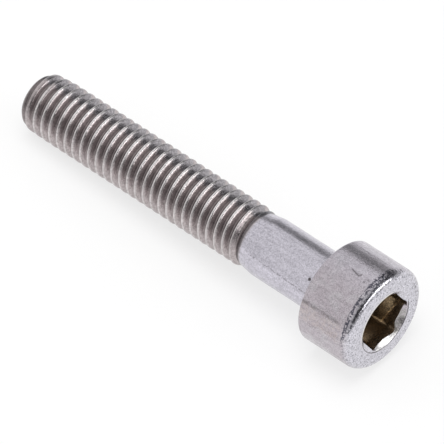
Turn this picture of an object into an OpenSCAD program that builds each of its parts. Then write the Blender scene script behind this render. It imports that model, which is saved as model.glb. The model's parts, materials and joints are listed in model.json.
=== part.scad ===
// Hex socket head cap screw, M5 x 0.8 x 30 mm, partly threaded, in stainless steel.
// It is headed and thread-rolled from one piece of wire, so it is a single solid.
// It lies on its side as it would on a bench: +Z is up, the tip points to -X and the
// socket to +X, and the head's rim and a thread crest near the tip touch Z = 0.

/* [Head] */
// Diameter of the head
head_d = 8.35; // [7.6:0.05:10]
// Height of the head, from the bearing face to the front face
head_h = 4.9; // [4.4:0.1:7]
// Radius of the rounded edge round the front face
front_edge_r = 0.75; // [0.2:0.05:0.9]
// Size of the small bevel round the bearing face
back_bevel = 0.12; // [0.04:0.02:0.4]

/* [Hex socket] */
// Width across the flats of the socket
socket_af = 4.08; // [3:0.02:4.1]
// Width across the flats at the front face, where the punch has flared them a little
flare_af = 4.38; // [4.1:0.02:4.4]
// Depth over which the flats flare out
flare_depth = 1; // [0.6:0.1:1.4]
// Depth of the flats, from the front face
socket_depth = 2.7; // [1.6:0.1:3]
// Angle of the conical bottom under the flats
bottom_angle = 120; // [110:5:160]
// Diameter of the countersunk mouth at the front face
mouth_d = 5.12; // [4.9:0.02:5.6]
// Angle of the countersunk mouth
mouth_angle = 90; // [60:5:120]
// Turn of the hexagon about the screw's axis, from straight down
socket_turn = 29.5; // [0:0.1:60]

/* [Shank] */
// Length under the head, from the bearing face to the tip
length = 30; // [20:1:60]
// Diameter of the plain shank
shank_d = 4.82; // [4.6:0.02:5]
// Radius of the fillet between the shank and the head
fillet_r = 0.25; // [0.1:0.05:0.4]
// Length of the tapered shoulder between the thread and the full shank
shoulder_len = 1; // [0.4:0.1:2]

/* [Thread] */
// Nominal diameter of the thread
thread_size = 5; // [4.8:0.05:5.2]
// Distance between neighbouring crests
pitch = 0.8; // [0.5:0.05:1]
// Length of the thread, from the tip to the start of the shoulder
thread_len = 22.4; // [12:0.2:24]
// Amount by which the crests lie under the nominal radius
crest_allowance = 0.06; // [0:0.01:0.1]
// Height of the rounding on each crest
crest_round = 0.035; // [0.01:0.005:0.06]
// Turns over which the last of the thread fades into the shoulder
runout_turns = 0.9; // [0.3:0.1:2]
// Radius of the flat end at the tip
tip_r = 1.95; // [1.6:0.05:2.05]
// Angle of the tip's chamfer from the screw's axis
tip_angle = 40; // [30:5:60]
// Turn of the thread about the screw's axis, from straight down
thread_turn = 242; // [0:1:360]

/* [Hidden] */

steel = [0.71, 0.70, 0.72];
smooth = 96;
cut_past = 0.1;

// Half a facet of the head as it is meshed, so that a facet of it faces the bench, and not a corner
head_turn = 2.77;

head_r = head_d / 2;
shank_r = shank_d / 2;
mouth_r = mouth_d / 2;
socket_r = socket_af / 2;
flare_r = flare_af / 2;
flare_slope = (flare_r - socket_r) / flare_depth;

// ISO metric profile: 60 degree flanks that are half a pitch apart at the pitch radius
flank_angle = 30;
root_depth = 0.6134 * pitch;
pitch_depth = 0.3248 * pitch;
crest_r = thread_size / 2 - crest_allowance;
root_r = thread_size / 2 - root_depth;
pitch_r = thread_size / 2 - pitch_depth;
function half_ridge(r) = pitch / 4 - (r - pitch_r) * tan(flank_angle);

// Rows of points across one pitch, each with its distance from the crest and its radius
crest_side_r = crest_r - crest_round;
profile = [
    [0, crest_r],
    [half_ridge(crest_side_r), crest_side_r],
    [half_ridge(root_r), root_r],
    [pitch - half_ridge(root_r), root_r],
    [pitch - half_ridge(crest_side_r), crest_side_r],
];
rows = len(profile);
columns = 28;

// The thread runs from the tip into the shoulder, which starts at the rolling blank's radius
tip_z = -length;
shoulder_z = thread_len - length;
thread_top_z = shoulder_z + shoulder_len / 4;
blank_clearance = 0.04;
thread_top_r = pitch_r - blank_clearance;
fade_from_z = shoulder_z - runout_turns * pitch;
least_step = pitch / 25;

// Rows start at least two pitches under the tip and end well over the top, and are cut at both
first_z = tip_z - pitch * (2 + thread_turn / 360);
all_rows = rows * (ceil((thread_top_z - first_z) / pitch) + 2);

function row_z(j, k) = first_z + pitch * (floor(k / rows) + j / columns) + profile[k % rows][0];
function tip_limit(z) = tip_r + (z - tip_z) * tan(tip_angle);
function fade(z) = min(1, max(0, (shoulder_z - z) / (shoulder_z - fade_from_z)));
function thread_r(z, r) = min(tip_limit(z), pitch_r + (r - pitch_r) * fade(z));

// The last row under the tip, and the first row over the top, of each column
low_rows = [
    for (j = [0 : columns - 1])
        max([for (k = [0 : all_rows - 1]) if (row_z(j, k) < tip_z + least_step) k])
];
high_rows = [
    for (j = [0 : columns - 1])
        min([for (k = [0 : all_rows - 1]) if (row_z(j, k) > thread_top_z - least_step) k])
];

function thread_point(j, k) =
    let (
        z = k <= low_rows[j] ? tip_z : k >= high_rows[j] ? thread_top_z : row_z(j, k),
        r = z == tip_z ? tip_r : z == thread_top_z ? thread_top_r : thread_r(z, profile[k % rows][1]),
        a = 360 * j / columns
    )
    [r * cos(a), r * sin(a), z];

// A column past the last is the first one, a whole pitch further on
function index(j, k) =
    let (
        column = j % columns,
        row = k + rows * floor(j / columns)
    )
    column * all_rows + min(high_rows[column], max(low_rows[column], row));

function whole(t) = t[0] != t[1] && t[1] != t[2] && t[2] != t[0];

thread_points = [
    for (j = [0 : columns - 1], k = [0 : all_rows - 1]) thread_point(j, k)
];
thread_faces = [
    for (j = [0 : columns - 1], k = [0 : all_rows - 2])
        for (t = [
            [index(j, k), index(j, k + 1), index(j + 1, k + 1)],
            [index(j, k), index(j + 1, k + 1), index(j + 1, k)],
        ])
            if (whole(t)) t,
    [for (j = [0 : columns - 1]) index(j, 0)],
    [for (j = [0 : columns - 1]) index(columns - 1 - j, all_rows - 1)],
];

// Lying on its side, the head's back rim and the first thread crest to meet the bench carry it
rest_tilt = min([for (p = thread_points) atan2(head_r - p.x, back_bevel - p.z)]);
lift = head_r * cos(rest_tilt) - back_bevel * sin(rest_tilt);
front_x = (head_h - front_edge_r) * cos(rest_tilt) + (head_r - front_edge_r) * sin(rest_tilt)
    + front_edge_r;
tip_x = -length * cos(rest_tilt) - tip_r * sin(rest_tilt);

module head_outline() {
    polygon([
        [0, 0],
        [head_r - back_bevel, 0],
        [head_r, back_bevel],
        [head_r, head_h - front_edge_r],
        [head_r - front_edge_r, head_h - front_edge_r],
        [head_r - front_edge_r, head_h],
        [0, head_h],
    ]);
    translate([head_r - front_edge_r, head_h - front_edge_r])
        circle(front_edge_r, $fn = smooth);
}

module shank_outline() {
    difference() {
        polygon([
            [0, cut_past],
            [shank_r + fillet_r, cut_past],
            [shank_r + fillet_r, -fillet_r],
            [shank_r, -fillet_r],
            [shank_r, shoulder_z + shoulder_len],
            [pitch_r, shoulder_z],
            [0, shoulder_z],
        ]);
        translate([shank_r + fillet_r, -fillet_r])
            circle(fillet_r, $fn = smooth);
    }
}

module head() {
    rotate([0, 0, head_turn])
        rotate_extrude($fn = smooth)
            head_outline();
}

module shank() {
    rotate_extrude($fn = smooth)
        shank_outline();
}

module thread() {
    polyhedron(thread_points, thread_faces, convexity = 8);
}

// Hexagonal flats over a conical bottom. They flare towards a countersunk mouth, which cuts them.
module hex_socket() {
    bottom_z = head_h - socket_depth;
    bottom_h = socket_r / tan(bottom_angle / 2);
    mouth_depth = (mouth_r - socket_r) / tan(mouth_angle / 2);
    mouth_slope = tan(mouth_angle / 2);
    rotate([0, 0, socket_turn])
        translate([0, 0, bottom_z]) {
            cylinder(h = socket_depth + cut_past, r = socket_r / cos(30), $fn = 6);
            translate([0, 0, socket_depth - flare_depth])
                cylinder(
                    h = flare_depth + cut_past,
                    r1 = socket_r / cos(30),
                    r2 = (flare_r + cut_past * flare_slope) / cos(30),
                    $fn = 6
                );
        }
    translate([0, 0, bottom_z - bottom_h])
        cylinder(h = bottom_h, r1 = 0, r2 = socket_r, $fn = smooth);
    translate([0, 0, head_h - mouth_depth])
        cylinder(
            h = mouth_depth + cut_past,
            r1 = socket_r,
            r2 = mouth_r + cut_past * mouth_slope,
            $fn = smooth
        );
}

module cap_screw() {
    color(steel)
        translate([-(front_x + tip_x) / 2, 0, lift])
            rotate([0, 90 - rest_tilt, 0])
                difference() {
                    union() {
                        head();
                        shank();
                        thread();
                    }
                    hex_socket();
                }
}

cap_screw();
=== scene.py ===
import json
import math
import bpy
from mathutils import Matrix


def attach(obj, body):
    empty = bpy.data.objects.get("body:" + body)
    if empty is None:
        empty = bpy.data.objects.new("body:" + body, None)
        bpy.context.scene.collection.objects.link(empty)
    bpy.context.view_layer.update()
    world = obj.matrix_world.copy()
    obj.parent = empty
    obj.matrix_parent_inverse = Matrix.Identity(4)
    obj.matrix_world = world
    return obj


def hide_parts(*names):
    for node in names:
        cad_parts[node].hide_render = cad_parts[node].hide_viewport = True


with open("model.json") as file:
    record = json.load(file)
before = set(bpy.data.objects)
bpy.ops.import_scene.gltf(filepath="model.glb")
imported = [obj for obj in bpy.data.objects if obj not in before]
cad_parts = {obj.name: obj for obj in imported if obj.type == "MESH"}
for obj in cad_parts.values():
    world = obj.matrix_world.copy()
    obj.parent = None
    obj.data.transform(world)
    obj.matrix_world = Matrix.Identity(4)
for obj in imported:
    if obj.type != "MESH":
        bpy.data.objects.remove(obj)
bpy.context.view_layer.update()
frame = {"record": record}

from types import SimpleNamespace

import bmesh
import bpy
from mathutils import Matrix, Vector, noise

MM = 0.001

# Where the screw lies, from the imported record
MOUNTS = {m["name"]: m for m in frame["record"]["mounts"]}
SHANK = MOUNTS["shank"]
TIPWARD = Vector(SHANK["axis"]).normalized()
AXIS = -TIPWARD
SHANK_POINT = Vector(SHANK["pos_m"])
BEARING_POINT = Vector(MOUNTS["bearing_face"]["pos_m"])
BEARING = SHANK_POINT + AXIS * (BEARING_POINT - SHANK_POINT).dot(AXIS)
DOWN = (Vector((0, 0, -1)) + AXIS * AXIS.z).normalized()
SIDE = AXIS.cross(DOWN)

# The screw's sizes in millimetres, the same as the solid's
HEAD_R = 4.175
HEAD_H = 4.9
FRONT_EDGE_R = 0.75
BACK_BEVEL = 0.12
SOCKET_R = 2.04
FLARE_R = 2.19
FLARE_DEPTH = 1.0
SOCKET_DEPTH = 2.7
CORNER_REACH = 1.125
SOCKET_TURN = 29.5
BOTTOM_CONE = math.radians(60)
MOUTH_R = 2.56
LENGTH = 30.0
SHANK_R = SHANK["dims"]["r_mm"]
FILLET_R = 0.25
SHOULDER_LEN = 1.0
PITCH = 0.8
THREAD_SIZE = 5.0
THREAD_LEN = 22.4
THREAD_TURN = 242.0
RUNOUT_TURNS = 0.9
CREST_R = THREAD_SIZE / 2 - 0.06
ROOT_R = THREAD_SIZE / 2 - 0.6134 * PITCH
PITCH_R = THREAD_SIZE / 2 - 0.3248 * PITCH
ROLLED_THINNER = 0.035
TIP_R = 1.95
TIP_SLOPE = math.tan(math.radians(40))
TIP_Z = -LENGTH
SHOULDER_Z = THREAD_LEN - LENGTH

# Roundings of the rolled thread
CREST_ROUNDING = 0.03
ROOT_ROUNDING = 0.08
TIP_ROUNDING = 0.05

# The first turn at the tip falls short of the full crest over this length, and most on one side
FIRST_TURN_LEN = 2.2
FIRST_TURN_SHORT = 0.09
FIRST_TURN_SIDE = math.radians(150)

# Unevenness of each surface: the size of its features, and their height
THREAD_WAVES = (0.5, 0.012)
SHANK_WAVES = (0.6, 0.003)
HEAD_WAVES = (0.5, 0.003)
MOUTH_WAVES = (0.4, 0.005)

# An uneven surface is set in by this much, so that it stays inside the solid's box
SHANK_INSET = 0.002
HEAD_INSET = 0.003
FRONT_INSET = 0.005
EDGE_INSET = 0.008

# The forming marks on the rounded front edge: their size, their least height, and the height that is
# added where they are deepest, with its place and spread in degrees from the edge's start
FORMING_SIZE = 0.2
FORMING_LEAST = 0.008
FORMING_ADDED = 0.010
FORMING_DEEPEST = 14
FORMING_SPREAD = 12

# The rounded lip of the socket's mouth. The punch pressed it in most at one place.
LIP_WIDTH = 0.15
LIP_DEPTH = 0.1
LIP_CORNER_LIFT = 0.04
PRESSED_TURN = 63
PRESSED_IN = 0.05
PRESSED_IN_SPREAD = 18
PRESSED_DOWN = 0.16
PRESSED_DOWN_SPREAD = 14

# How finely each stretch is meshed
THREAD_COLUMNS = 108
SHANK_COLUMNS = 2 * THREAD_COLUMNS
HEAD_COLUMNS = 2 * SHANK_COLUMNS
THREAD_ROWS = 14
ROW_GATHERING = 0.035
SHANK_ROWS = 46
HEAD_ROWS = 46
EDGE_ROWS = 18
FRONT_ROWS = 9

# Edges on the head that stay crisp turn by more than this
CRISP = math.radians(24)


def place(r, angle, z):
    """A point of the screw, from its radius, its angle from straight down and its height along the axis."""
    across = DOWN * math.cos(angle) + SIDE * math.sin(angle)
    return BEARING + (AXIS * z + across * r) * MM


def angle_of(column, columns):
    """Angle of a column of points. One of them is at a corner of the socket."""
    return math.radians(SOCKET_TURN) + math.tau * column / columns


def smooth_min(a, b, k):
    """The lesser of two values, blended where they are closer than k."""
    h = max(0.0, min(1.0, 0.5 + 0.5 * (b - a) / k))
    return b + (a - b) * h - k * h * (1 - h)


def smooth_max(a, b, k):
    return -smooth_min(-a, -b, k)


def arc(centre, radius, start, end, count):
    """Points (r, z) along an arc, from start to end degrees, both ends in."""
    turn = [math.radians(start + (end - start) * i / count) for i in range(count + 1)]
    return [(centre[0] + radius * math.cos(t), centre[1] + radius * math.sin(t)) for t in turn]


def line(start, end, count):
    """Points (r, z) from start to end, without the start."""
    return [
        (start[0] + (end[0] - start[0]) * i / count, start[1] + (end[1] - start[1]) * i / count)
        for i in range(1, count + 1)
    ]


def ripple(angle, z, size, height):
    """Seeded unevenness of the surface, in features of about one size."""
    spot = Vector((math.cos(angle) * HEAD_R, math.sin(angle) * HEAD_R, z)) / size
    return height * noise.noise(spot)


class Shell:
    """Collects the screw's points, as radius, angle and height, and its faces."""

    def __init__(self):
        self.points = []
        self.browned = []
        self.dirty = []
        self.faces = []
        self.crisp_from = 0
        self.brown = 0.0

    def point(self, r, angle, z, dirt=0.0):
        self.points.append((r, angle, z))
        self.browned.append(self.brown)
        self.dirty.append(dirt)
        return len(self.points) - 1

    def ring(self, columns, radius, z, dirt=None):
        """A ring of points. radius and z are numbers or functions of the angle."""
        found = []
        for j in range(columns):
            a = angle_of(j, columns)
            r = radius(a) if callable(radius) else radius
            h = z(a) if callable(z) else z
            found.append(self.point(r, a, h, dirt(a) if dirt else 0.0))
        return found

    def bridge(self, low, high):
        """Faces between two rings. The upper one has as many points, or a whole multiple of them."""
        n, ratio = len(low), len(high) // len(low)
        for j in range(n):
            upper = [high[(j * ratio + i) % len(high)] for i in range(ratio, -1, -1)]
            self.faces.append([low[j], low[(j + 1) % n], *upper])

    def close(self, ring, z):
        """A cone from a ring to a point on the axis."""
        middle = self.point(0.0, 0.0, z)
        for j, corner in enumerate(ring):
            self.faces.append([corner, ring[(j + 1) % len(ring)], middle])


def thread_radius(u):
    """Radius of the rolled thread at u pitches from a crest: straight flanks, rounded crest and root."""
    flank = PITCH_R - ROLLED_THINNER + (PITCH / 4 - abs(u) * PITCH) / math.tan(math.radians(30))
    return smooth_max(smooth_min(flank, CREST_R, CREST_ROUNDING), ROOT_R, ROOT_ROUNDING)


def thread_rows():
    """Places of the rows across one pitch, as shares of it, closest at the crest and the root."""
    shares = [i / THREAD_ROWS for i in range(THREAD_ROWS)]
    return [t - ROW_GATHERING * math.sin(4 * math.pi * t) for t in shares]


def fade(z):
    """1 along the whole thread, falling to 0 where its last part-turn runs into the shoulder."""
    return max(0.0, min(1.0, (SHOULDER_Z - z) / (RUNOUT_TURNS * PITCH)))


def first_turn(angle, z):
    """How far the first turn at the tip falls short of the full crest, mostly on its upper side."""
    near_tip = max(0.0, min(1.0, (TIP_Z + FIRST_TURN_LEN - z) / FIRST_TURN_LEN))
    return near_tip * FIRST_TURN_SHORT * (1 + max(0.0, math.cos(angle - FIRST_TURN_SIDE)))


def add_thread(shell):
    """The helical thread, from the flat tip to a ring at the shoulder, which it returns."""
    n, rows = THREAD_COLUMNS, thread_rows()
    least = PITCH / 40
    crest_z = TIP_Z - PITCH * (2 + THREAD_TURN / 360)

    def height(j, k):
        turns = k // THREAD_ROWS + angle_of(j, n) / math.tau
        return crest_z + PITCH * (turns + rows[k % THREAD_ROWS])

    def radius(angle, z, k):
        u = rows[k % THREAD_ROWS]
        cut = thread_radius(min(u, 1 - u)) + ripple(angle, z, *THREAD_WAVES)
        cut = PITCH_R + (cut - PITCH_R) * fade(z)
        cut = min(cut, CREST_R - first_turn(angle, z))
        return smooth_min(cut, TIP_R + (z - TIP_Z) * TIP_SLOPE, TIP_ROUNDING)

    total = THREAD_ROWS * (math.ceil((SHOULDER_Z - crest_z) / PITCH) + 2)
    # A hair above the solid's tip, so that rounding can't carry it out of the solid's box
    bottom = shell.ring(n, TIP_R, TIP_Z + least / 10)
    top = shell.ring(n, PITCH_R, SHOULDER_Z)
    columns = []
    for j in range(n):
        column = []
        for k in range(total):
            z = height(j, k)
            if z < TIP_Z + least:
                column.append(bottom[j])
            elif z > SHOULDER_Z - least:
                column.append(top[j])
            else:
                column.append(shell.point(radius(angle_of(j, n), z, k), angle_of(j, n), z))
        columns.append(column)

    def index(j, k):
        # Past the last column comes the first one, a whole pitch further on
        if j < n:
            return columns[j][k]
        return columns[0][min(k + THREAD_ROWS, total - 1)]

    for j in range(n):
        for k in range(total - 1):
            face = [index(j, k), index(j + 1, k), index(j + 1, k + 1), index(j, k + 1)]
            whole = list(dict.fromkeys(face))
            if len(whole) > 2:
                shell.faces.append(whole)
    shell.faces.append(list(reversed(bottom)))
    return top


def shank_outline():
    """Points (r, z) from the shoulder's start to the bearing face."""
    neck_end = SHOULDER_Z + SHOULDER_LEN
    points = line((PITCH_R, SHOULDER_Z), (PITCH_R + 0.012, SHOULDER_Z + 0.05), 1)
    points += line(points[-1], (SHANK_R - 0.02, neck_end - 0.12), 7)
    points += line(points[-1], (SHANK_R, neck_end + 0.06), 3)
    points += line((SHANK_R, neck_end + 0.06), (SHANK_R, -FILLET_R), SHANK_ROWS)
    points += arc((SHANK_R + FILLET_R, -FILLET_R), FILLET_R, 180, 90, 7)[1:]
    return points


def add_shank(shell, ring):
    """The shoulder, the plain shank and the fillet under the head."""
    for r, z in shank_outline():
        upper = shell.ring(SHANK_COLUMNS, lambda a: r - SHANK_INSET + ripple(a, z, *SHANK_WAVES), z)
        shell.bridge(ring, upper)
        ring = upper
    return ring


def head_side():
    """Points (r, z) from the bearing face's bevel up to the rounded front edge."""
    points = [(HEAD_R - BACK_BEVEL, 0.0)]
    points += arc((HEAD_R - BACK_BEVEL, BACK_BEVEL), BACK_BEVEL, -90, 0, 4)[1:]
    points += line(points[-1], (HEAD_R, HEAD_H - FRONT_EDGE_R), HEAD_ROWS)
    return points


# Small marks in the head's side: angle from straight down in degrees, height, radius and depth
PITS = [
    (205.0, 1.3, 0.08, 0.01),
    (226.0, 2.2, 0.08, 0.012),
    (190.0, 3.6, 0.12, 0.02),
    (186.0, 3.75, 0.1, 0.02),
    (238.0, 3.1, 0.09, 0.012),
]
# The middle of a dark pit in the shank, under the head
PIT_SPOT = (-1.805, -1.6, -1.05)
# An L-shaped scratch: angle and height of its three corners
SCRATCH = [(184.9, 2.12), (187.4, 2.93), (184.2, 3.02)]
SCRATCH_WIDTH = 0.07
SCRATCH_DEPTH = 0.025


def flat_spot(angle_deg, z):
    """Place on the unrolled side of the head, in millimetres."""
    return Vector((math.radians(angle_deg) * HEAD_R, z))


def dent(angle, z):
    """Depth of the pits and the scratch at a place on the head's side."""
    spot = flat_spot(math.degrees(angle) % 360, z)
    depth = 0.0
    for turn, height, radius, deep in PITS:
        away = (spot - flat_spot(turn, height)).length / radius
        depth = max(depth, deep * max(0.0, 1 - away * away))
    for start, end in zip(SCRATCH, SCRATCH[1:]):
        a, b = flat_spot(*start), flat_spot(*end)
        share = max(0.0, min(1.0, (spot - a).dot(b - a) / (b - a).length_squared))
        away = (spot - a.lerp(b, share)).length / SCRATCH_WIDTH
        depth = max(depth, SCRATCH_DEPTH * max(0.0, 1 - away * away))
    return depth


def add_head(shell, ring):
    """The head's side and front, up to the edge of the socket's mouth."""
    for r, z in head_side():
        upper = shell.ring(
            HEAD_COLUMNS,
            lambda a: r - HEAD_INSET - dent(a, z) + ripple(a, z, *HEAD_WAVES),
            z,
            lambda a: min(1.0, dent(a, z) / SCRATCH_DEPTH),
        )
        shell.bridge(ring, upper)
        ring = upper
    shell.crisp_from = ring[0]
    front = (HEAD_R - FRONT_EDGE_R, HEAD_H - FRONT_EDGE_R)
    for i in range(1, EDGE_ROWS + 1):
        turn = math.radians(90 * i / EDGE_ROWS)

        def worn(a):
            off = (math.degrees(turn) - FORMING_DEEPEST) / FORMING_SPREAD
            height = FORMING_LEAST + FORMING_ADDED * math.exp(-(off ** 2))
            return FRONT_EDGE_R - EDGE_INSET + ripple(a, i * 0.06, FORMING_SIZE, height)

        upper = shell.ring(
            HEAD_COLUMNS,
            lambda a: front[0] + worn(a) * math.cos(turn),
            lambda a: front[1] + worn(a) * math.sin(turn),
        )
        shell.bridge(ring, upper)
        ring = upper
    for r, z in line((front[0], HEAD_H), (MOUTH_R + 0.05, HEAD_H), FRONT_ROWS):
        upper = shell.ring(HEAD_COLUMNS, r, lambda a: z - FRONT_INSET + ripple(a, r * 3, *HEAD_WAVES))
        shell.bridge(ring, upper)
        ring = upper
    return ring


def off_middle(angle):
    """How far an angle is from the middle of the nearest flat: 0 there and 1 at a corner."""
    turned = (angle - math.radians(SOCKET_TURN)) % (math.pi / 3) - math.pi / 6
    return turned / (math.pi / 6)


def flat_radius(angle, depth):
    """Distance from the axis to the socket's flats, which flare out towards the mouth."""
    half = SOCKET_R + (FLARE_R - SOCKET_R) * max(0.0, 1 - depth / FLARE_DEPTH)
    sharp = half / math.cos(off_middle(angle) * math.pi / 6)
    return smooth_min(sharp, half * CORNER_REACH, 0.04)


# Where the countersunk mouth meets the flats, as measured in the photograph: the angle in degrees from
# straight down, and the depth. The corners are the shallow places.
CRESCENT = [
    (0, 0.35), (6, 0.34), (16, 0.27), (24, 0.22), (30, 0.27), (36, 0.4), (43, 0.5), (50, 0.485),
    (58, 0.43), (68, 0.38), (80, 0.33), (89, 0.25), (96, 0.22), (120, 0.27), (149, 0.2),
    (180, 0.3), (209, 0.2), (240, 0.3), (269, 0.2), (300, 0.22), (329, 0.15), (338, 0.25), (347, 0.32),
]


def crescent_depth(angle):
    """Depth of the countersunk mouth's lower edge."""
    turn = math.degrees(angle) % 360
    for (start, low), (end, high) in zip(CRESCENT, CRESCENT[1:] + [(360, CRESCENT[0][1])]):
        if start <= turn <= end:
            share = (turn - start) / (end - start)
            return low + (high - low) * share
    return CRESCENT[0][1]


def hump(angle, middle, width):
    """1 at an angle of the middle, in degrees, falling off smoothly within the width."""
    away = (math.degrees(angle) - middle + 180) % 360 - 180
    return math.exp(-((away / width) ** 2))


def add_socket(shell, rim):
    """Countersunk mouth, six flats and the conical bottom."""
    n = len(rim)
    last = rim

    def go_on(radius, depth):
        nonlocal last
        upper = shell.ring(n, radius, lambda a: HEAD_H - depth(a))
        shell.bridge(last, upper)
        last = upper

    def lip_radius(a):
        lifted = LIP_CORNER_LIFT * off_middle(a) ** 2
        return MOUTH_R - LIP_WIDTH + lifted - PRESSED_IN * hump(a, PRESSED_TURN, PRESSED_IN_SPREAD)

    def lip_depth(a):
        lifted = LIP_CORNER_LIFT * off_middle(a) ** 2
        return LIP_DEPTH - lifted + PRESSED_DOWN * hump(a, PRESSED_TURN, PRESSED_DOWN_SPREAD)

    go_on(lambda a: MOUTH_R + 0.01, lambda a: 0.008)
    go_on(lambda a: MOUTH_R - 0.01, lambda a: 0.025)
    go_on(lip_radius, lip_depth)
    for share in (0.25, 0.5, 0.75, 1.0):
        go_on(
            lambda a: lip_radius(a) * (1 - share) + flat_radius(a, crescent_depth(a)) * share
            + (0 if share == 1 else ripple(a, share, *MOUTH_WAVES)),
            lambda a: lip_depth(a) * (1 - share) + crescent_depth(a) * share,
        )

    def wall(share, start, end):
        return lambda a: start(a) + (end - start(a)) * share

    shell.brown = 1.0
    for share in (0.02, 0.33, 0.67, 1.0):
        depth = wall(share, crescent_depth, FLARE_DEPTH)
        go_on(lambda a: flat_radius(a, depth(a)), depth)
    for i in range(1, 6):
        depth = FLARE_DEPTH + (SOCKET_DEPTH - FLARE_DEPTH) * i / 5
        go_on(lambda a: flat_radius(a, depth), lambda a: depth)
    for share in (0.99, 0.7, 0.35):
        depth = SOCKET_DEPTH + SOCKET_R * (1 - share) / math.tan(BOTTOM_CONE)
        go_on(lambda a: SOCKET_R * share, lambda a: depth)
    shell.close(last, HEAD_H - SOCKET_DEPTH - SOCKET_R / math.tan(BOTTOM_CONE))


def build_screw():
    """One closed mesh, with each point's place, browning and dirt kept for the material."""
    shell = Shell()
    ring = add_thread(shell)
    ring = add_shank(shell, ring)
    ring = add_head(shell, ring)
    add_socket(shell, ring)

    mesh = bpy.data.meshes.new("cap_screw_fine")
    mesh.from_pydata([place(*p) for p in shell.points], [], shell.faces)
    spots = mesh.attributes.new("spot", "FLOAT_VECTOR", "POINT")
    for i, (r, angle, z) in enumerate(shell.points):
        spots.data[i].vector = (r * math.cos(angle), r * math.sin(angle), z)
    brown = mesh.attributes.new("brown", "FLOAT", "POINT")
    brown.data.foreach_set("value", shell.browned)
    dirt = mesh.attributes.new("dirt", "FLOAT", "POINT")
    dirt.data.foreach_set("value", shell.dirty)
    work = bmesh.new()
    work.from_mesh(mesh)
    work.verts.ensure_lookup_table()
    for edge in work.edges:
        if min(v.index for v in edge.verts) >= shell.crisp_from and len(edge.link_faces) == 2:
            edge.smooth = edge.calc_face_angle() < CRISP
    # Every face is smooth but the flat end of the tip
    for face in work.faces:
        face.smooth = len(face.verts) < THREAD_COLUMNS
    loose = [v for v in work.verts if not v.link_faces]
    bmesh.ops.delete(work, geom=loose, context="VERTS")
    bmesh.ops.recalc_face_normals(work, faces=work.faces)
    work.to_mesh(mesh)
    work.free()
    screw = bpy.data.objects.new("cap_screw_fine", mesh)
    bpy.context.scene.collection.objects.link(screw)
    return screw


class Nodes:
    """Short calls for building a node tree. A value is a number, a colour or another node's socket."""

    def __init__(self, tree):
        self.tree = tree

    def put(self, kind, **settings):
        node = self.tree.nodes.new(kind)
        for name, value in settings.items():
            setattr(node, name, value)
        return node

    def feed(self, socket, value):
        if isinstance(value, bpy.types.NodeSocket):
            self.tree.links.new(value, socket)
        else:
            socket.default_value = value

    def calc(self, operation, *values):
        node = self.put("ShaderNodeMath", operation=operation)
        for socket, value in zip(node.inputs, values):
            self.feed(socket, value)
        return node.outputs[0]

    def product(self, *values):
        result = values[0]
        for value in values[1:]:
            result = self.calc("MULTIPLY", result, value)
        return result

    def rise(self, value, start, end, low=0.0, high=1.0):
        """Smoothly from low at start to high at end. start may be the larger one."""
        node = self.put("ShaderNodeMapRange", interpolation_type="SMOOTHSTEP")
        if start > end:
            start, end, low, high = end, start, high, low
        for name, given in zip(("Value", "From Min", "From Max", "To Min", "To Max"),
                               (value, start, end, low, high)):
            self.feed(node.inputs[name], given)
        return node.outputs["Result"]

    def between(self, value, low, high, soft):
        """1 from low to high and 0 outside, with soft ends."""
        return self.calc(
            "MULTIPLY",
            self.rise(value, low - soft, low + soft),
            self.rise(value, high + soft, high - soft),
        )

    def mix(self, share, a, b):
        """Colour or number between a and b."""
        kind = "RGBA" if isinstance(a, tuple) or getattr(a, "type", "") == "RGBA" else "FLOAT"
        node = self.put("ShaderNodeMix", data_type=kind)
        offset = 6 if kind == "RGBA" else 2
        self.feed(node.inputs[0], share)
        self.feed(node.inputs[offset], a)
        self.feed(node.inputs[offset + 1], b)
        return node.outputs[2 if kind == "RGBA" else 0]

    def stretch(self, vector, x, y, z):
        node = self.put("ShaderNodeVectorMath", operation="MULTIPLY")
        self.feed(node.inputs[0], vector)
        self.feed(node.inputs[1], (x, y, z))
        return node.outputs[0]

    def speckle(self, vector, scale, detail, rough):
        node = self.put("ShaderNodeTexNoise")
        self.feed(node.inputs["Vector"], vector)
        self.feed(node.inputs["Scale"], scale)
        self.feed(node.inputs["Detail"], detail)
        self.feed(node.inputs["Roughness"], rough)
        return node.outputs["Fac"]


def grey(level):
    return (level, level, level, 1)


LILAC_STEEL = (0.574, 0.553, 0.616, 1)
HEAD_STEEL = (0.525, 0.495, 0.525, 1)
ROSY_STEEL = (0.475, 0.43, 0.465, 1)
FRONT_STEEL = (0.625, 0.612, 0.665, 1)
FLANK_STEEL = (0.472, 0.422, 0.424, 1)
CREST_HIGHLIGHT = (0.86, 0.83, 0.83, 1)
COOL_SHADE = (0.35, 0.36, 0.4, 1)
ROOT_SHADE = (0.272, 0.235, 0.235, 1)
CRESCENT_HIGHLIGHT = (0.93, 0.915, 0.92, 1)
CRESCENT_GREY = (0.42, 0.41, 0.4, 1)
SOCKET_BROWN = (0.36, 0.3, 0.24, 1)
SOCKET_OLIVE = (0.44, 0.385, 0.29, 1)
SOCKET_LIGHT_TAN = (1.0, 0.82, 0.58, 1)
# Dark colour for real marks, and for painted shade in the thread and round the mouth
DIRT_AND_SHADE = (0.09, 0.08, 0.085, 1)
EDGE_SPECKS_AND_REFLECTION = (0.08, 0.08, 0.105, 1)
RUST_TINT = (0.42, 0.35, 0.31, 1)
CREAM_HIGHLIGHT = (0.95, 0.9, 0.8, 1)
GRAIN_HEIGHT = 0.03
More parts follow.
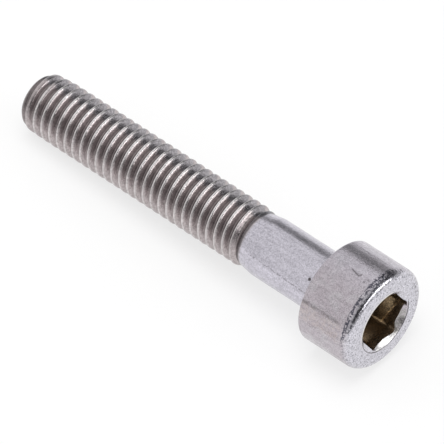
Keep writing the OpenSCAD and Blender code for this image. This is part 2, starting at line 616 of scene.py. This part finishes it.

# Where marks, painted light and painted shade lie round the screw, in degrees from straight down
TARNISH_TURN = (240, 262)
SEAM_TURN = (238.5, 242)
SCUFF_TURN = (248.4, 251.4)
EDGE_REFLECTION_TURN = (166, 258)
SECOND_REFLECTION_TURN = (182, 246)
TOP_REFLECTION_TURN = (158, 190)
RIM_MARKS_TURN = (55, 130)
MOUTH_HIGHLIGHT_TURN = (160, 265)
CALM_FRONT_TURN = (165, 285)
MOTTLED_CRESCENT_TURN = (30, 74)
UPPER_CRESCENT_TURN = (92, 152)
LOWER_CRESCENT_TURN = (272, 334)
SOCKET_CORNER_LIGHT_TURN = (28.2, 31.2)
SHADOWED_THREAD_TURN = (214, 254)
AWAY_THREAD_TURN = (130, 172)

# The scuff along the shank: its ends, and how far it drifts round the shank in a millimetre
SCUFF_ENDS = (-6.9, -0.2)
SCUFF_DRIFT = 0.94

# The slanting edge of the painted light on the socket's flat: its depth at the middle, its slope and half
# the flat's width
SOCKET_LINE_DEPTH = 1.09
SOCKET_LINE_SLOPE = 0.376
FLAT_HALF_WIDTH = 1.18


def measure(n):
    """Places on the screw in millimetres and degrees, and the noises that the colours share."""
    at = SimpleNamespace()
    at.spot = n.put("ShaderNodeAttribute", attribute_name="spot").outputs["Vector"]
    at.brown = n.put("ShaderNodeAttribute", attribute_name="brown").outputs["Fac"]
    at.dirt = n.put("ShaderNodeAttribute", attribute_name="dirt").outputs["Fac"]
    split = n.put("ShaderNodeSeparateXYZ")
    n.feed(split.inputs[0], at.spot)
    at.x, at.y, at.z = split.outputs
    at.r = n.calc("SQRT", n.calc("ADD", n.product(at.x, at.x), n.product(at.y, at.y)))
    # Angle round the screw in degrees: 0 is straight down, 90 faces +Y
    turn = n.product(n.calc("ARCTAN2", at.y, at.x), 180 / math.pi)
    at.turn = n.calc("FLOORED_MODULO", turn, 360.0)

    at.blotch = n.speckle(at.spot, 1.1, 3, 0.6)
    at.grain = n.speckle(at.spot, 4.0, 3, 0.65)
    at.specks = n.speckle(at.spot, 6.5, 2, 0.5)
    at.fine = n.speckle(at.spot, 12.0, 2, 0.6)
    at.drawn = n.speckle(n.stretch(at.spot, 4.0, 4.0, 0.4), 1.0, 2, 0.6)
    # Scores that run round the screw
    round_it = n.put("ShaderNodeCombineXYZ")
    run = (n.product(at.turn, 0.2), n.product(at.z, 7), n.product(at.r, 7))
    for socket, value in zip(round_it.inputs, run):
        n.feed(socket, value)
    streaks = n.speckle(round_it.outputs[0], 1.0, 2, 0.6)
    at.scored = n.calc("ADD", n.product(streaks, 0.5), n.product(at.specks, 0.5))

    at.thread = n.rise(at.z, SHOULDER_Z + 0.2, SHOULDER_Z - 0.1)
    at.head = n.rise(at.z, -0.1, 0.1)
    at.steel_side = n.rise(at.brown, 1.0, 0.0)
    at.front = n.product(n.rise(at.z, HEAD_H - FRONT_EDGE_R, HEAD_H - 0.15), at.steel_side)
    at.near_front = n.rise(at.z, HEAD_H - 1.0, HEAD_H - 0.8)
    edge = n.rise(at.z, HEAD_H - FRONT_EDGE_R, HEAD_H - FRONT_EDGE_R + 0.1)
    at.round_edge = n.product(edge, n.rise(at.r, MOUTH_R + 0.05, MOUTH_R + 0.3))
    at.crescents = n.product(n.rise(at.r, MOUTH_R, MOUTH_R - 0.06), at.steel_side, at.near_front)
    mottled = n.between(at.turn, *MOTTLED_CRESCENT_TURN, 4)
    at.mottled = n.product(mottled, n.rise(at.specks, 0.35, 0.6, 0.4, 1.0))
    at.lowest = n.rise(n.calc("DIVIDE", at.x, at.r), 0.8, 0.86)
    return at


def plain_colour(n, at):
    """Lilac shank, a rosier head with a tarnished strip, and a paler front."""
    head = n.mix(n.rise(at.blotch, 0.3, 0.6), HEAD_STEEL, ROSY_STEEL)
    head = n.mix(n.rise(at.turn, 215, 175, 0.0, 0.55), head, LILAC_STEEL)
    colour = n.mix(at.head, LILAC_STEEL, head)
    colour = n.mix(at.front, colour, FRONT_STEEL)
    tarnish = n.product(at.head, n.between(at.turn, *TARNISH_TURN, 5), n.rise(at.grain, 0.35, 0.6))
    tarnish = n.product(tarnish, n.rise(at.z, HEAD_H - 0.7, HEAD_H - 1.3), 0.35)
    return n.mix(tarnish, colour, RUST_TINT)


def mark_sides(n, at, colour):
    """A seam and the scratch on the head, and a scuff and a pit on the shank."""
    seam = n.product(n.between(at.turn, *SEAM_TURN, 1.2), at.head, n.rise(at.z, 4.0, 3.3))
    colour = n.mix(n.product(seam, n.rise(at.grain, 0.3, 0.6), 0.5), colour, DIRT_AND_SHADE)
    colour = n.mix(n.product(at.dirt, 0.85), colour, DIRT_AND_SHADE)
    drift = n.calc("ADD", at.turn, n.product(at.z, -SCUFF_DRIFT))
    scuff = n.product(n.between(drift, *SCUFF_TURN, 1.4), n.between(at.z, *SCUFF_ENDS, 0.3))
    colour = n.mix(n.product(scuff, n.rise(at.specks, 0.42, 0.56), 0.6), colour, DIRT_AND_SHADE)
    pit = n.put("ShaderNodeVectorMath", operation="DISTANCE")
    n.feed(pit.inputs[0], at.spot)
    n.feed(pit.inputs[1], PIT_SPOT)
    return n.mix(n.rise(pit.outputs["Value"], 0.17, 0.08), colour, DIRT_AND_SHADE)


def mark_edge(n, at, colour):
    """Painted dark reflection in speckled bands on the head's rounded edge, dark specks over the edge and
    the front, and marks on the front face's rim.
    """
    start = HEAD_H - FRONT_EDGE_R
    # Painted reflection: speckled dark bands across the rounded edge, one at its start, one on its upper
    # side and a thin second one further up
    marks = n.rise(at.scored, 0.45, 0.51)
    band = n.between(at.z, start - 0.05, start + 0.24, 0.05)
    band = n.product(band, n.between(at.turn, *EDGE_REFLECTION_TURN, 8))
    colour = n.mix(n.product(band, marks, 0.92), colour, EDGE_SPECKS_AND_REFLECTION)
    top = n.between(at.z, start - 0.12, start + 0.5, 0.1)
    top = n.product(top, n.between(at.turn, *TOP_REFLECTION_TURN, 7))
    colour = n.mix(n.product(top, n.rise(at.scored, 0.46, 0.52), 0.88), colour, EDGE_SPECKS_AND_REFLECTION)
    second = n.between(at.z, start + 0.38, start + 0.5, 0.04)
    second = n.product(second, n.between(at.turn, *SECOND_REFLECTION_TURN, 8))
    colour = n.mix(n.product(second, marks, 0.88), colour, EDGE_SPECKS_AND_REFLECTION)
    colour = n.mix(n.product(at.round_edge, n.rise(at.specks, 0.56, 0.66), 0.6), colour, EDGE_SPECKS_AND_REFLECTION)
    rim = n.between(at.r, 3.35, 4.1, 0.15)
    rim = n.product(rim, n.between(at.turn, *RIM_MARKS_TURN, 15), at.near_front)
    return n.mix(n.product(rim, n.rise(at.scored, 0.46, 0.56), 0.35), colour, DIRT_AND_SHADE)


def mark_mouth(n, at, colour):
    """The countersink's crescents with a painted highlight on the lowest ones, a painted dark line round
    the mouth, and a painted cream highlight on its near edge.
    """
    upper = n.between(at.turn, *UPPER_CRESCENT_TURN, 4)
    lower = n.between(at.turn, *LOWER_CRESCENT_TURN, 4)
    # Painted highlight: the lowest crescents are near white
    bright = n.mix(at.lowest, ROSY_STEEL, CRESCENT_HIGHLIGHT)
    bright = n.mix(n.calc("MAXIMUM", upper, lower), bright, FRONT_STEEL)
    bright = n.mix(at.mottled, bright, CRESCENT_GREY)
    colour = n.mix(at.crescents, colour, bright)
    # Painted shade: a dark line round the mouth's edge, fainter beside the upper crescents
    ring = n.product(n.between(at.r, MOUTH_R - 0.03, MOUTH_R + 0.04, 0.02), at.front)
    ring = n.product(ring, n.mix(upper, 1.0, 0.2))
    colour = n.mix(n.product(ring, n.rise(at.specks, 0.3, 0.5, 0.5, 0.9)), colour, DIRT_AND_SHADE)
    # Painted highlight: a cream line just outside the mouth on its near side
    worn = n.between(at.r, MOUTH_R + 0.05, MOUTH_R + 0.12, 0.02)
    worn = n.product(worn, n.between(at.turn, *MOUTH_HIGHLIGHT_TURN, 12), at.front)
    return n.mix(n.product(worn, 0.8), colour, CREAM_HIGHLIGHT)


def socket_colour(n, at):
    """Browned flats. The one that shows most has painted light: lighter deep down, up to a slanting line
    with a bright edge, and a bright line down one corner.
    """
    flat = math.radians(SOCKET_TURN + 30)
    along = n.calc("ADD", n.product(at.x, -math.sin(flat)), n.product(at.y, math.cos(flat)))
    out = n.calc("ADD", n.product(at.x, math.cos(flat)), n.product(at.y, math.sin(flat)))
    depth = n.calc("SUBTRACT", HEAD_H, at.z)
    slanted = n.calc("ADD", depth, n.product(along, SOCKET_LINE_SLOPE))
    under = n.calc("SUBTRACT", slanted, SOCKET_LINE_DEPTH)
    on_flat = n.between(along, -FLAT_HALF_WIDTH, FLAT_HALF_WIDTH, 0.02)
    on_flat = n.product(n.rise(out, 1.9, 1.98), on_flat)
    colour = n.mix(n.rise(at.grain, 0.35, 0.65, 0.0, 0.35), SOCKET_BROWN, SOCKET_OLIVE)
    # Painted light: the flat is lighter below the slanting line
    light = n.product(on_flat, n.rise(under, 0.0, 0.12), n.rise(at.grain, 0.3, 0.6, 0.6, 1.0))
    colour = n.mix(light, colour, SOCKET_OLIVE)
    # Painted light: a bright tan line along the slanting edge
    slant_light = n.product(on_flat, n.between(under, -0.02, 0.12, 0.05), n.rise(along, 1.2, 0.6, 0.6, 1.0))
    colour = n.mix(slant_light, colour, SOCKET_LIGHT_TAN)
    # Painted light: a bright line down one corner of the socket
    corner = n.between(at.turn, *SOCKET_CORNER_LIGHT_TURN, 1.4)
    return n.mix(n.product(corner, n.rise(depth, 0.9, 1.6, 0.06, 0.2)), colour, SOCKET_LIGHT_TAN)


def thread_colour(n, at):
    """Painted shade in the roots, dull flanks, and painted highlights along the crests."""
    # Painted shade: the roots are darker than the flanks
    colour = n.mix(n.rise(at.r, ROOT_R + 0.16, ROOT_R + 0.02), FLANK_STEEL, ROOT_SHADE)
    shadowed = n.between(at.turn, *SHADOWED_THREAD_TURN, 12)
    shadowed = n.product(shadowed, n.rise(at.grain, 0.3, 0.6, 0.3, 1.0))
    colour = n.mix(n.product(shadowed, 0.4), colour, DIRT_AND_SHADE)
    # Painted shade: the last groove before the shoulder is darker
    groove = n.between(at.z, SHOULDER_Z - 0.34, SHOULDER_Z - 0.02, 0.07)
    colour = n.mix(n.product(groove, 0.8), colour, DIRT_AND_SHADE)
    # Painted shade: the side of the thread turned away is darker and cooler, with dark specks
    away = n.between(at.turn, *AWAY_THREAD_TURN, 6)
    colour = n.mix(n.product(away, 0.5), colour, COOL_SHADE)
    colour = n.mix(n.product(away, n.rise(at.specks, 0.4, 0.6), 0.35), colour, DIRT_AND_SHADE)
    # Painted highlight: a light line along each crest, brightest on the upper side and dimmer lower down,
    # at the top edge and by the shoulder
    crest = n.product(
        n.rise(at.r, CREST_R - 0.075, CREST_R - 0.02),
        n.rise(at.turn, 196, 240, 0.95, 0.42),
        n.rise(at.turn, 148, 174, 0.08, 1.0),
        n.rise(at.z, SHOULDER_Z - 0.3, SHOULDER_Z - 1.5, 0.35, 1.0),
    )
    colour = n.mix(crest, colour, CREST_HIGHLIGHT)
    # Painted shade: the thread darkens towards the tip
    near_tip = n.rise(at.z, TIP_Z + 0.7, TIP_Z + 0.1)
    return n.mix(n.product(near_tip, 0.4), colour, DIRT_AND_SHADE)


def grained(n, at, colour):
    """The colour, lighter and darker with the grain, which is calmer by the mouth's near edge."""
    tone = n.calc("ADD", n.product(at.grain, 0.25), n.product(at.fine, 0.55))
    tone = n.rise(n.calc("ADD", tone, n.product(at.drawn, 0.2)), 0.37, 0.63, 0.73, 1.23)
    calm = n.product(at.front, n.rise(at.r, 3.3, 2.75), n.between(at.turn, *CALM_FRONT_TURN, 12))
    tone = n.mix(n.product(calm, 0.7), tone, 1.0)
    shade = n.put("ShaderNodeVectorMath", operation="SCALE")
    n.feed(shade.inputs[0], colour)
    n.feed(shade.inputs["Scale"], tone)
    return shade.outputs[0]


def smoothness(n, at):
    """Roughness: satin, with a smoother edge and crescents and a duller thread."""
    roughness = n.rise(at.blotch, 0.3, 0.7, 0.16, 0.26)
    roughness = n.mix(at.round_edge, roughness, 0.11)
    roughness = n.mix(at.crescents, roughness, 0.14)
    roughness = n.mix(at.thread, roughness, 0.26)
    return n.mix(at.brown, roughness, 0.2)


def grain_bump(n, at):
    """The grain's relief, whose height is in shares of GRAIN_HEIGHT."""
    height = n.calc("ADD", n.product(at.grain, 0.4), n.product(at.fine, 0.3))
    height = n.calc("ADD", height, n.product(at.drawn, 0.3))
    bump = n.put("ShaderNodeBump")
    n.feed(bump.inputs["Height"], height)
    n.feed(bump.inputs["Strength"], 1.0)
    n.feed(bump.inputs["Distance"], GRAIN_HEIGHT * MM)
    return bump.outputs[0]


def steel():
    """Satin stainless steel: grained, with painted highlights on the crests and the mouth, painted shade in
    the thread and painted light in the socket, a duller thread and a browned socket.
    """
    material = bpy.data.materials.new("satin_steel")
    material.use_nodes = True
    n = Nodes(material.node_tree)
    at = measure(n)
    colour = plain_colour(n, at)
    colour = mark_sides(n, at, colour)
    colour = mark_edge(n, at, colour)
    colour = mark_mouth(n, at, colour)
    colour = n.mix(at.brown, colour, socket_colour(n, at))
    colour = n.mix(at.thread, colour, thread_colour(n, at))

    shader = material.node_tree.nodes["Principled BSDF"]
    n.feed(shader.inputs["Base Color"], grained(n, at, colour))
    n.feed(shader.inputs["Roughness"], smoothness(n, at))
    n.feed(shader.inputs["Normal"], grain_bump(n, at))
    # Painted highlight: the lowest crescents are less metallic, so that their near-white colour stays light
    # whatever they face; the mottled ones are partly so too
    highlight_and_mottle = n.product(at.crescents, n.calc("MAXIMUM", at.lowest, n.product(at.mottled, 0.6)))
    n.feed(shader.inputs["Metallic"], n.mix(highlight_and_mottle, 1.0, 0.4))
    return material


def floor():
    """A pale floor that stays close to white in view and in reflections, and keeps a soft shadow."""
    mesh = bpy.data.meshes.new("floor")
    size = 0.6
    corners = [(-size, -size, 0), (size, -size, 0), (size, size, 0), (-size, size, 0)]
    mesh.from_pydata([Vector(c) for c in corners], [], [(0, 1, 2, 3)])
    plane = bpy.data.objects.new("floor", mesh)
    bpy.context.scene.collection.objects.link(plane)
    material = bpy.data.materials.new("pale_floor")
    material.use_nodes = True
    n = Nodes(material.node_tree)
    matt = material.node_tree.nodes["Principled BSDF"]
    n.feed(matt.inputs["Base Color"], grey(0.93))
    n.feed(matt.inputs["Roughness"], 0.9)
    n.feed(matt.inputs["Specular IOR Level"], 0.0)
    glow = n.put("ShaderNodeEmission")
    n.feed(glow.inputs["Color"], grey(1.0))
    path = n.put("ShaderNodeLightPath").outputs
    seen = n.calc("MAXIMUM", path["Is Camera Ray"], path["Is Glossy Ray"])
    seen = n.calc("MAXIMUM", seen, path["Is Transmission Ray"])
    blend = n.put("ShaderNodeMixShader")
    n.feed(blend.inputs["Fac"], n.product(seen, 0.7))
    n.feed(blend.inputs[1], matt.outputs[0])
    n.feed(blend.inputs[2], glow.outputs[0])
    n.feed(material.node_tree.nodes["Material Output"].inputs["Surface"], blend.outputs[0])
    mesh.materials.append(material)


def overhead_lamp():
    """Lights the floor to white and casts the soft shadow, and isn't mirrored in the steel."""
    data = bpy.data.lights.new("overhead", "AREA")
    data.shape = "DISK"
    data.size = 0.35
    data.energy = 1.1
    lamp = bpy.data.objects.new("overhead", data)
    lamp.location = (0.03, -0.03, 0.5)
    lamp.visible_glossy = False
    bpy.context.scene.collection.objects.link(lamp)


def studio():
    """A soft light all round above, with dark cards and one bright strip, as the steel mirrors them."""
    world = bpy.data.worlds.new("studio")
    bpy.context.scene.world = world
    world.use_nodes = True
    n = Nodes(world.node_tree)
    split = n.put("ShaderNodeSeparateXYZ")
    n.feed(split.inputs[0], n.put("ShaderNodeTexCoord").outputs["Generated"])
    x, y, z = split.outputs
    rise = n.product(n.calc("ARCSINE", z), 180 / math.pi)
    turn = n.product(n.calc("ARCTAN2", y, x), 180 / math.pi)

    def card(turn_from, turn_to, rise_from, rise_to, soft, soft_rise):
        """1 inside a stretch of the sky, in degrees round and up, with soft edges."""
        return n.product(
            n.between(turn, turn_from, turn_to, soft),
            n.between(rise, rise_from, rise_to, soft_rise),
        )

    # Dimmer towards the head's end and along the horizon
    light = n.mix(n.rise(x, -0.1, 0.4), 0.88, 0.58)
    horizon = n.between(rise, -5, 5, 2)
    light = n.mix(horizon, light, n.mix(n.rise(x, -0.3, 0.3), 0.6, 0.3))
    # Three dark cards, of which the first darkens upwards, and the bright strip
    back = n.rise(rise, 0, 22, 0.6, 0.16)
    light = n.mix(card(48, 138, -3, 29, 4, 1.5), light, back)
    light = n.mix(card(46, 116, 27, 46, 6, 4), light, 0.22)
    light = n.mix(card(-50, 8, 8, 44, 5, 4), light, 0.1)
    light = n.mix(card(-12, 48, 15, 25, 4, 2), light, 4.5)
    background = world.node_tree.nodes["Background"].inputs
    n.feed(background["Color"], light)
    n.feed(background["Strength"], 1.0)


def camera():
    """The photograph's view: long lens, well above the screw and off its head end."""
    data = bpy.data.cameras.new("camera")
    focal_px = 6541.66
    image_px = 444
    data.sensor_width = 36
    data.lens = focal_px / image_px * data.sensor_width
    data.clip_start = 0.01
    data.clip_end = 10
    view = bpy.data.objects.new("camera", data)
    bpy.context.scene.collection.objects.link(view)
    bpy.context.scene.camera = view
    from_bearing = Vector((198.81625243, -230.50940862, 371.23802935))
    forward = Vector((-0.43242152, 0.47444511, -0.76675515))
    right = Vector((0.73908054, 0.67361707, 0.0))
    up = right.cross(forward)
    matrix = Matrix((right, up, -forward)).transposed().to_4x4()
    matrix.translation = BEARING + from_bearing * MM
    view.matrix_world = matrix


def main():
    """The screw in its material, on the stage, seen as in the photograph."""
    bpy.context.scene.view_settings.view_transform = "Standard"
    screw = build_screw()
    screw.data.materials.append(steel())
    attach(screw, "root")
    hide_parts("cap_screw")
    floor()
    overhead_lamp()
    studio()
    camera()


main()
